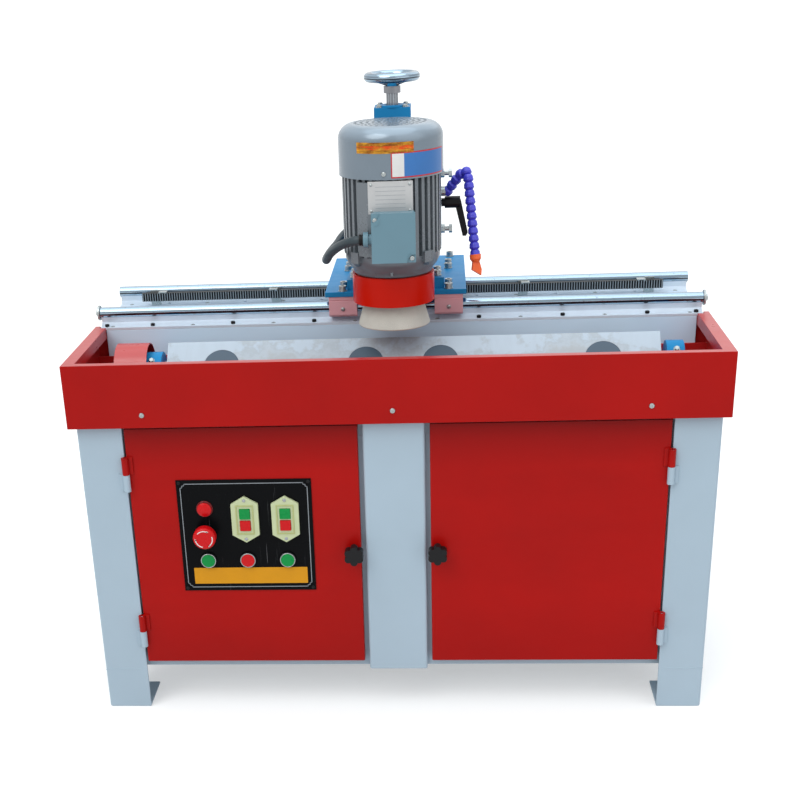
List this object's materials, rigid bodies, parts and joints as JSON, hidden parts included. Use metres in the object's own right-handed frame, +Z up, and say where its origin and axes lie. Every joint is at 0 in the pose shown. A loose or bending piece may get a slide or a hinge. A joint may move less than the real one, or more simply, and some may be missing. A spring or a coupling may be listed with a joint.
{
  "type": "knife grinder",
  "caption": "Wet grinder for straight knives: cabinet stand with doors, drip tray, tilting knife bed and a rail carriage with a cup-wheel head.",
  "frame": {"origin": "middle of the machine's outer box, on the floor", "axes": "+X along the rails to the operator's right, +Y from the doors to the back, +Z up"},
  "size_m": [1.1, 0.575, 1.0658],
  "materials": {
    "frame_paint": "satin pale blue-grey enamel",
    "red_paint": "gloss red enamel",
    "blue_paint": "gloss blue enamel",
    "guard_paint": "gloss red enamel",
    "motor_paint": "grey hammer enamel",
    "box_paint": "blue-grey enamel",
    "tank_paint": "grey enamel",
    "rail_steel": "ground and hard-chromed",
    "rail_alloy": "drawn, satin",
    "block_alloy": "machined, satin",
    "rack_steel": "milled, oiled",
    "zinc_steel": "zinc-plated",
    "screw_steel": "ground",
    "rim_chrome": "polished",
    "dark_steel": "dark slate",
    "black_plastic": "fine texture",
    "panel_plate": "printed plate, left bare",
    "bezel_metal": "plated rings",
    "cream_plastic": "moulded",
    "red_plastic": "moulded",
    "green_plastic": "moulded",
    "grey_plastic": "moulded",
    "lead_sheath": "ribbed sheath",
    "hose_plastic": "moulded beads",
    "nozzle_plastic": "moulded",
    "abrasive": "bonded grit"
  },
  "bodies": {
    "base": {"legs": "frame_paint", "centre_post": "frame_paint", "door_frame": "frame_paint", "side_panels": "frame_paint", "back_panel": "frame_paint", "cabinet_floor": "frame_paint", "bed_beam": "frame_paint", "water_tray": "red_paint", "rail_supports": "rail_alloy", "rail_shafts": "rail_steel", "rail_end_caps": "zinc_steel", "gear_rack": "rack_steel", "rack_brackets": "zinc_steel", "tilt_bearings": "blue_paint", "tilt_cover": "red_paint", "coolant_tank": "tank_paint", "coolant_pump": "tank_paint", "electric_panel": "grey_plastic", "hinge_pins": "frame_paint"},
    "left_door": {"left_door": "red_paint", "control_panel": "panel_plate", "panel_fittings": "bezel_metal", "pilot_lamp": "red_plastic", "switch_units": "cream_plastic"},
    "right_door": {"right_door": "red_paint"},
    "left_latch": {"left_latch": "black_plastic"},
    "right_latch": {"right_latch": "black_plastic"},
    "estop_button": {"estop_button": "red_plastic"},
    "travel_left_button": {"travel_left_button": "green_plastic"},
    "travel_stop_button": {"travel_stop_button": "red_plastic"},
    "travel_right_button": {"travel_right_button": "green_plastic"},
    "wheel_on_button": {"wheel_on_button": "green_plastic"},
    "wheel_off_button": {"wheel_off_button": "red_plastic"},
    "pump_on_button": {"pump_on_button": "green_plastic"},
    "pump_off_button": {"pump_off_button": "red_plastic"},
    "knife_bed": {"knife_bed": "frame_paint", "bed_magnets": "dark_steel", "tilt_shaft": "screw_steel"},
    "carriage": {"carriage_plate": "blue_paint", "bearing_blocks": "block_alloy", "plate_bolts": "zinc_steel", "slide_column": "blue_paint", "travel_gearmotor": "motor_paint", "carriage_lead": "lead_sheath"},
    "travel_pinion": {"travel_pinion": "rack_steel"},
    "handwheel": {"handwheel": "rim_chrome", "lead_screw": "screw_steel"},
    "head": {"head_slide": "blue_paint", "slide_fittings": "zinc_steel", "motor_frame": "motor_paint", "motor_cowl": "motor_paint", "terminal_box": "box_paint", "wheel_guard": "guard_paint", "head_lead": "lead_sheath"},
    "clamp_lever": {"clamp_lever": "black_plastic"},
    "spindle": {"spindle": "screw_steel", "cup_wheel": "abrasive"},
    "hose_arm": {"hose_arm": "hose_plastic"},
    "hose_drop": {"hose_drop": "hose_plastic"},
    "hose_nozzle": {"hose_nozzle": "nozzle_plastic"}
  },
  "joints": [
    {"name": "left_door_swing", "type": "hinge", "parent": "base", "child": "left_door", "pos_m": [-0.4595, -0.2595, 0.3155], "axis": [0, 0, -1], "range_deg": [0, 110]},
    {"name": "right_door_swing", "type": "hinge", "parent": "base", "child": "right_door", "pos_m": [0.4595, -0.2595, 0.3155], "axis": [0, 0, 1], "range_deg": [0, 110]},
    {"name": "left_latch_turn", "type": "hinge", "parent": "left_door", "child": "left_latch", "pos_m": [-0.072, -0.2535, 0.3095], "axis": [0, 1, 0], "range_deg": [0, 90]},
    {"name": "right_latch_turn", "type": "hinge", "parent": "right_door", "child": "right_latch", "pos_m": [0.072, -0.2535, 0.3095], "axis": [0, -1, 0], "range_deg": [0, 90]},
    {"name": "estop_press", "type": "slide", "parent": "left_door", "child": "estop_button", "axis": [0, 1, 0], "range_m": [0, 0.006], "stiffness_N_per_m": 400},
    {"name": "travel_left_press", "type": "slide", "parent": "left_door", "child": "travel_left_button", "axis": [0, 1, 0], "range_m": [0, 0.003], "stiffness_N_per_m": 300},
    {"name": "travel_stop_press", "type": "slide", "parent": "left_door", "child": "travel_stop_button", "axis": [0, 1, 0], "range_m": [0, 0.003], "stiffness_N_per_m": 300},
    {"name": "travel_right_press", "type": "slide", "parent": "left_door", "child": "travel_right_button", "axis": [0, 1, 0], "range_m": [0, 0.003], "stiffness_N_per_m": 300},
    {"name": "wheel_on_press", "type": "slide", "parent": "left_door", "child": "wheel_on_button", "axis": [0, 1, 0], "range_m": [0, 0.003], "stiffness_N_per_m": 300},
    {"name": "wheel_off_press", "type": "slide", "parent": "left_door", "child": "wheel_off_button", "axis": [0, 1, 0], "range_m": [0, 0.003], "stiffness_N_per_m": 300},
    {"name": "pump_on_press", "type": "slide", "parent": "left_door", "child": "pump_on_button", "axis": [0, 1, 0], "range_m": [0, 0.003], "stiffness_N_per_m": 300},
    {"name": "pump_off_press", "type": "slide", "parent": "left_door", "child": "pump_off_button", "axis": [0, 1, 0], "range_m": [0, 0.003], "stiffness_N_per_m": 300},
    {"name": "bed_tilt", "type": "hinge", "parent": "base", "child": "knife_bed", "pos_m": [0.02, -0.0885, 0.593], "axis": [1, 0, 0], "range_deg": [-45, 20]},
    {"name": "carriage_travel", "type": "slide", "parent": "base", "child": "carriage", "axis": [1, 0, 0], "range_m": [-0.35, 0.35]},
    {"name": "pinion_turn", "type": "hinge", "parent": "carriage", "child": "travel_pinion", "pos_m": [0, 0.1295, 0.6705], "axis": [0, 0, 1], "range_deg": [-1340, 1340]},
    {"name": "handwheel_turn", "type": "hinge", "parent": "carriage", "child": "handwheel", "pos_m": [0, 0.0375, 1.043], "axis": [0, 0, 1], "range_deg": [-2252, 3602]},
    {"name": "head_lift", "type": "slide", "parent": "carriage", "child": "head", "axis": [0, 0, 1], "range_m": [-0.025, 0.04]},
    {"name": "clamp_turn", "type": "hinge", "parent": "head", "child": "clamp_lever", "pos_m": [0.082, 0.0235, 0.85], "axis": [1, 0, 0], "range_deg": [-15, 60]},
    {"name": "spindle_turn", "type": "hinge", "parent": "head", "child": "spindle", "pos_m": [0, -0.0885, 0.84], "axis": [0, 0, 1], "continuous": true},
    {"name": "hose_root_turn", "type": "hinge", "parent": "head", "child": "hose_arm", "pos_m": [0.093, 0.0145, 0.87], "axis": [1, 0, 0], "range_deg": [-18, 5]},
    {"name": "hose_bend", "type": "hinge", "parent": "hose_arm", "child": "hose_drop", "pos_m": [0.12508, -0.00115, 0.90341], "axis": [0, 1, 0], "range_deg": [-30, 6]},
    {"name": "nozzle_turn", "type": "hinge", "parent": "hose_drop", "child": "hose_nozzle", "pos_m": [0.13965, -0.03387, 0.77176], "axis": [0.0915, -0.2055, -0.9744], "range_deg": [-60, 60]}
  ],
  "couplings": [
    {"joint": "pinion_turn", "follows": "carriage_travel", "rad_per_m": 66.667},
    {"joint": "handwheel_turn", "follows": "head_lift", "rad_per_m": 1570.8}
  ]
}
